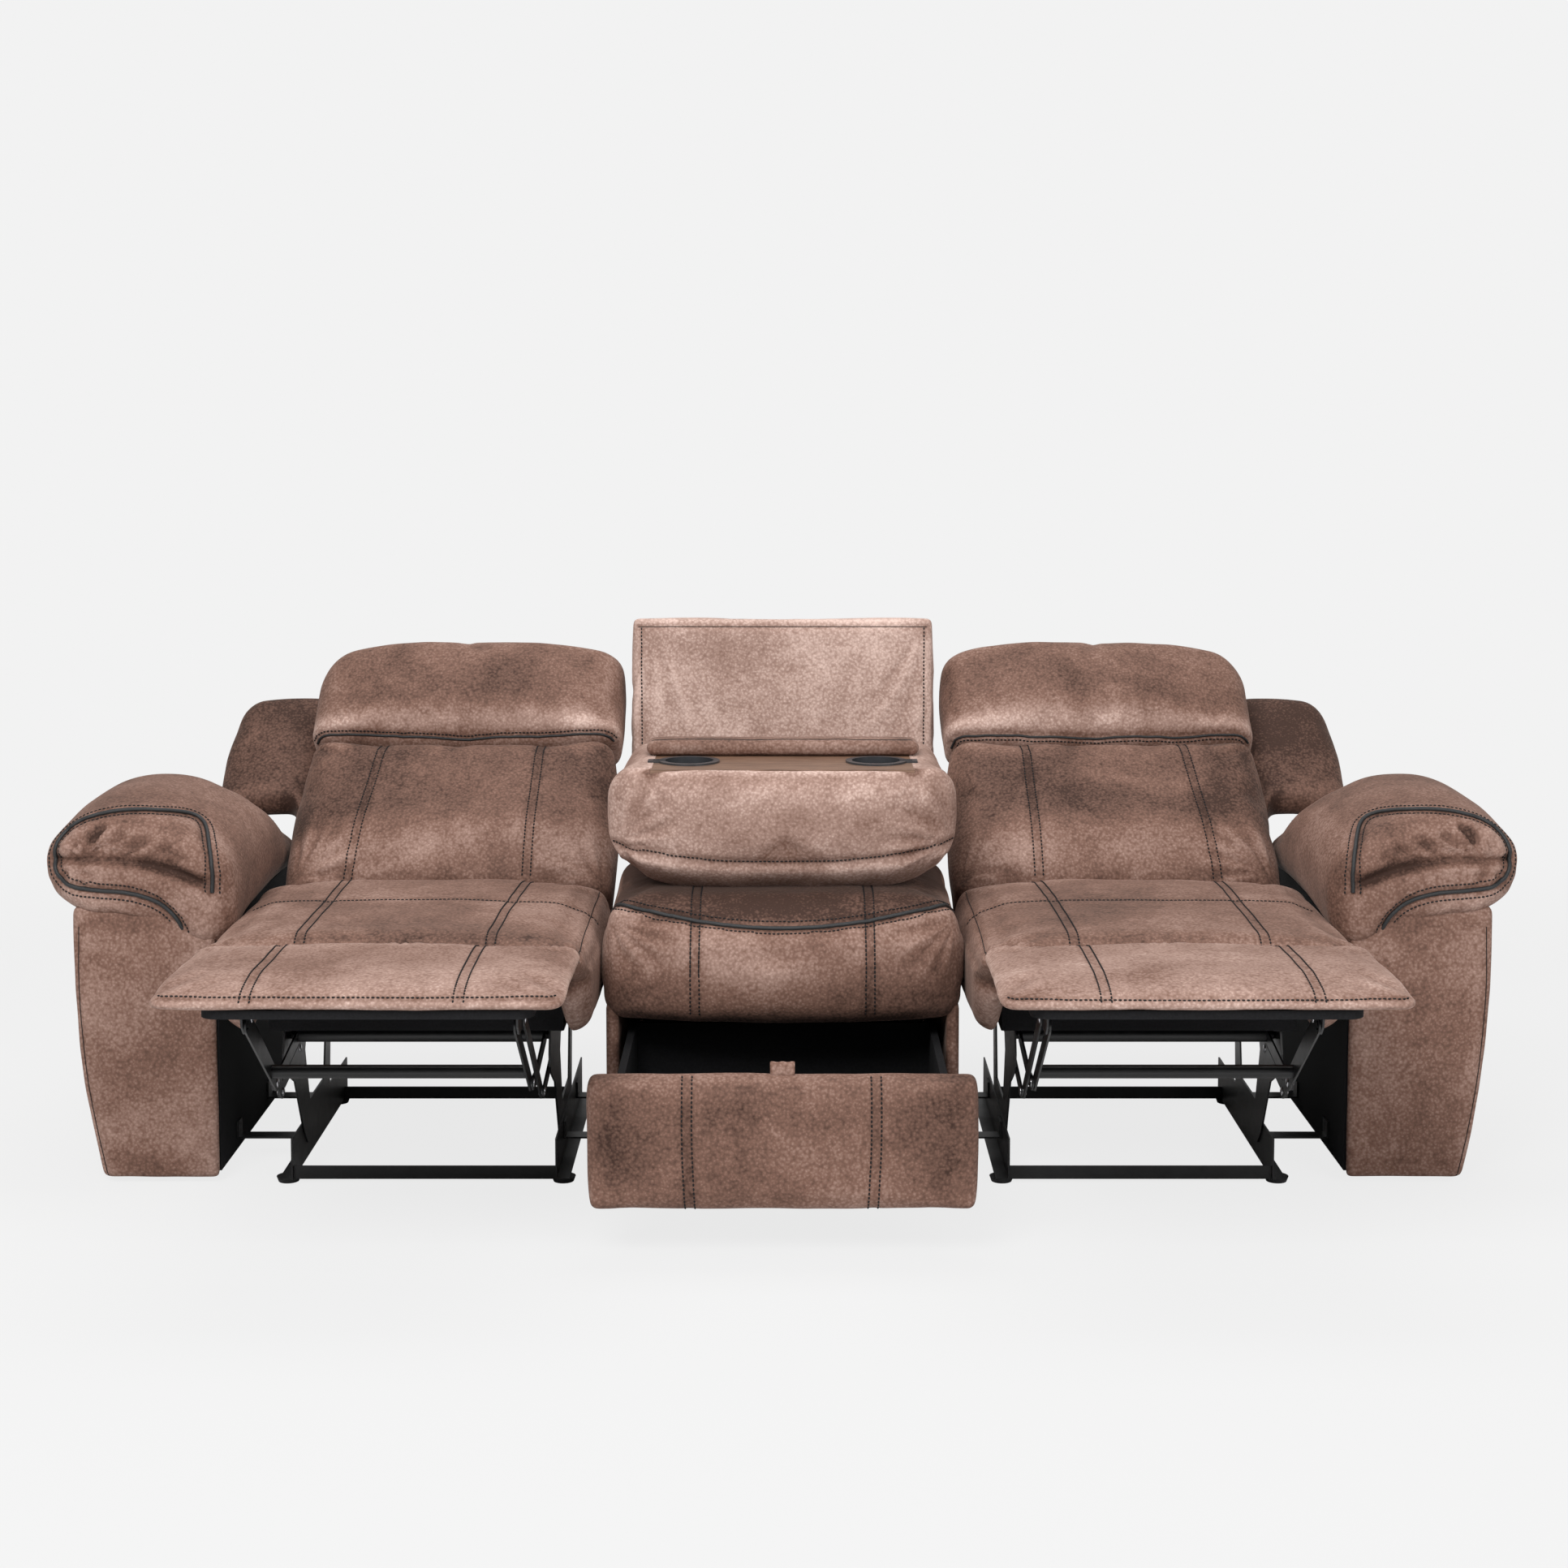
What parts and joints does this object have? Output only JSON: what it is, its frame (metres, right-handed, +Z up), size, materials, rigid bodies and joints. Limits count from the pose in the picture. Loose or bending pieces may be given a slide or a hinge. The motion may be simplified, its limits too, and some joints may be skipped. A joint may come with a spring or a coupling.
{
  "type": "reclining sofa with drop down console",
  "caption": "Two seat reclining sofa with pillow arms; the middle back folds down as a console with cup holders above a drawer.",
  "frame": {"origin": "on the floor, under the middle of the box round the sofa as posed (footrests and drawer out, backs laid back, console down)", "axes": "+X to the right as a viewer faces the sofa, +Y to the back, +Z up"},
  "size_m": [2.29, 1.373, 0.8324],
  "materials": {
    "upholstery": "soft mottled brown suede look",
    "frame_wood": "bare plywood",
    "tray_wood": "satin wood grain laminate",
    "lining": "board under black cloth",
    "webbing": "woven elastic",
    "glide_plastic": "matte",
    "cup_plastic": "satin dark grey",
    "slide_steel": "zinc plated",
    "black_steel": "satin black"
  },
  "bodies": {
    "sofa": {"arm_frames": "frame_wood", "arm_left_body": "upholstery", "arm_left_lower_pad": "upholstery", "arm_left_upper_pad": "upholstery", "arm_linings": "lining", "arm_right_body": "upholstery", "arm_right_lower_pad": "upholstery", "arm_right_upper_pad": "upholstery", "back_hinge_plates": "black_steel", "base_bars": "black_steel", "base_glides": "glide_plastic", "base_rails": "black_steel", "console_panel": "upholstery", "console_posts": "frame_wood", "console_stands": "black_steel", "drawer_slides": "slide_steel", "feet": "glide_plastic", "mech_side_plates": "black_steel", "middle_cushion": "upholstery", "middle_deck": "lining", "middle_sides": "upholstery", "seat_left_box": "lining", "seat_left_cushion": "upholstery", "seat_right_box": "lining", "seat_right_cushion": "upholstery", "seat_webbing": "webbing"},
    "back_left": {"back_left_frame": "frame_wood", "back_left_hinges": "black_steel", "back_left_lumbar": "upholstery", "back_left_headrest": "upholstery", "back_left_wing": "upholstery"},
    "lower_links_left": {"footrest_left_link_a": "black_steel"},
    "long_links_left": {"footrest_left_link_b": "black_steel"},
    "upper_links_left": {"footrest_left_link_c": "black_steel"},
    "outer_links_left": {"footrest_left_link_d": "black_steel"},
    "footrest_left": {"footrest_left_brackets": "black_steel", "footrest_left_board": "lining", "footrest_left_cushion": "upholstery"},
    "back_right": {"back_right_frame": "frame_wood", "back_right_hinges": "black_steel", "back_right_lumbar": "upholstery", "back_right_headrest": "upholstery", "back_right_wing": "upholstery"},
    "lower_links_right": {"footrest_right_link_a": "black_steel"},
    "long_links_right": {"footrest_right_link_b": "black_steel"},
    "upper_links_right": {"footrest_right_link_c": "black_steel"},
    "outer_links_right": {"footrest_right_link_d": "black_steel"},
    "footrest_right": {"footrest_right_brackets": "black_steel", "footrest_right_board": "lining", "footrest_right_cushion": "upholstery"},
    "console": {"console_hinge_arms": "black_steel", "console_core": "frame_wood", "console_pillow": "upholstery", "console_tray": "tray_wood", "console_cups": "cup_plastic", "console_bar": "upholstery"},
    "drawer": {"drawer_runners": "slide_steel", "drawer_box": "lining", "drawer_front": "upholstery", "drawer_tab": "upholstery"}
  },
  "joints": [
    {"name": "back_left_recline", "type": "hinge", "parent": "sofa", "child": "back_left", "pos_m": [-0.566, 0.2135, 0.395], "axis": [1, 0, 0], "range_deg": [0, 34]},
    {"name": "footrest_left_fold", "type": "hinge", "parent": "sofa", "child": "lower_links_left", "pos_m": [-0.56, -0.10613, 0.20729], "axis": [1, 0, 0], "range_deg": [0, 111.74]},
    {"name": "footrest_left_long_pivot", "type": "hinge", "parent": "lower_links_left", "child": "long_links_left", "pos_m": [-0.56, -0.26613, 0.18217], "axis": [1, 0, 0], "range_deg": [-111.45, 0]},
    {"name": "footrest_left_turn", "type": "hinge", "parent": "long_links_left", "child": "footrest_left", "pos_m": [-0.56, -0.4978, 0.35087], "axis": [1, 0, 0], "range_deg": [0, 89.7]},
    {"name": "footrest_left_upper_pivot", "type": "hinge", "parent": "sofa", "child": "upper_links_left", "pos_m": [-0.56, -0.14989, 0.23992], "axis": [1, 0, 0], "range_deg": [0, 111.35]},
    {"name": "footrest_left_outer_pivot", "type": "hinge", "parent": "upper_links_left", "child": "outer_links_left", "pos_m": [-0.56, -0.34623, 0.21706], "axis": [1, 0, 0], "range_deg": [-108.84, 0]},
    {"name": "back_right_recline", "type": "hinge", "parent": "sofa", "child": "back_right", "pos_m": [0.566, 0.2135, 0.395], "axis": [1, 0, 0], "range_deg": [0, 34]},
    {"name": "footrest_right_fold", "type": "hinge", "parent": "sofa", "child": "lower_links_right", "pos_m": [0.56, -0.10613, 0.20729], "axis": [1, 0, 0], "range_deg": [0, 111.74]},
    {"name": "footrest_right_long_pivot", "type": "hinge", "parent": "lower_links_right", "child": "long_links_right", "pos_m": [0.56, -0.26613, 0.18217], "axis": [1, 0, 0], "range_deg": [-111.45, 0]},
    {"name": "footrest_right_turn", "type": "hinge", "parent": "long_links_right", "child": "footrest_right", "pos_m": [0.56, -0.4978, 0.35087], "axis": [1, 0, 0], "range_deg": [0, 89.7]},
    {"name": "footrest_right_upper_pivot", "type": "hinge", "parent": "sofa", "child": "upper_links_right", "pos_m": [0.56, -0.14989, 0.23992], "axis": [1, 0, 0], "range_deg": [0, 111.35]},
    {"name": "footrest_right_outer_pivot", "type": "hinge", "parent": "upper_links_right", "child": "outer_links_right", "pos_m": [0.56, -0.34623, 0.21706], "axis": [1, 0, 0], "range_deg": [-108.84, 0]},
    {"name": "console_raise", "type": "hinge", "parent": "sofa", "child": "console", "pos_m": [0, 0.2985, 0.49], "axis": [-1, 0, 0], "range_deg": [0, 102]},
    {"name": "drawer_close", "type": "slide", "parent": "sofa", "child": "drawer", "axis": [0, 1, 0], "range_m": [0, 0.3]}
  ],
  "couplings": [
    {"joint": "footrest_left_long_pivot", "follows": "footrest_left_fold", "ratio": -0.99691},
    {"joint": "footrest_left_turn", "follows": "footrest_left_fold", "ratio": 0.80232},
    {"joint": "footrest_left_upper_pivot", "follows": "footrest_left_fold", "ratio": 0.99598},
    {"joint": "footrest_left_outer_pivot", "follows": "footrest_left_fold", "ratio": -0.97354},
    {"joint": "footrest_right_long_pivot", "follows": "footrest_right_fold", "ratio": -0.99691},
    {"joint": "footrest_right_turn", "follows": "footrest_right_fold", "ratio": 0.80232},
    {"joint": "footrest_right_upper_pivot", "follows": "footrest_right_fold", "ratio": 0.99598},
    {"joint": "footrest_right_outer_pivot", "follows": "footrest_right_fold", "ratio": -0.97354}
  ]
}
